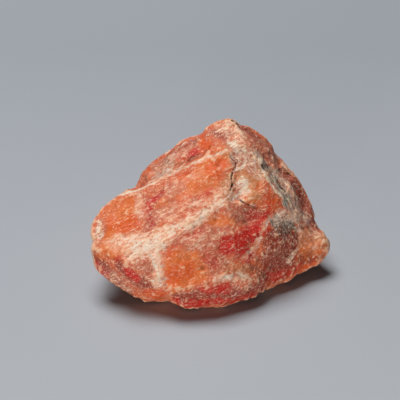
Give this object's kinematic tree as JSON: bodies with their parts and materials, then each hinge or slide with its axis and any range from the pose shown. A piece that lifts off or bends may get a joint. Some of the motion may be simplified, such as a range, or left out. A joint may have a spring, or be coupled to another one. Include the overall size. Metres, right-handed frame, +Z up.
{
  "type": "rough triplite",
  "caption": "Rough lump of triplite: slab-like sloping top, taller head, low spur at the right and a small flat spot to rest on.",
  "frame": {"origin": "on the table, under the middle of the stone's box", "axes": "+X along the stone from the blunt nose to the spur, -Y towards the picture's camera, +Z up"},
  "size_m": [0.0398, 0.028, 0.0241],
  "materials": {
    "triplite": "broken, waxy, orange-red with pale bruises"
  },
  "bodies": {
    "root": {"triplite": "triplite"}
  },
  "joints": []
}
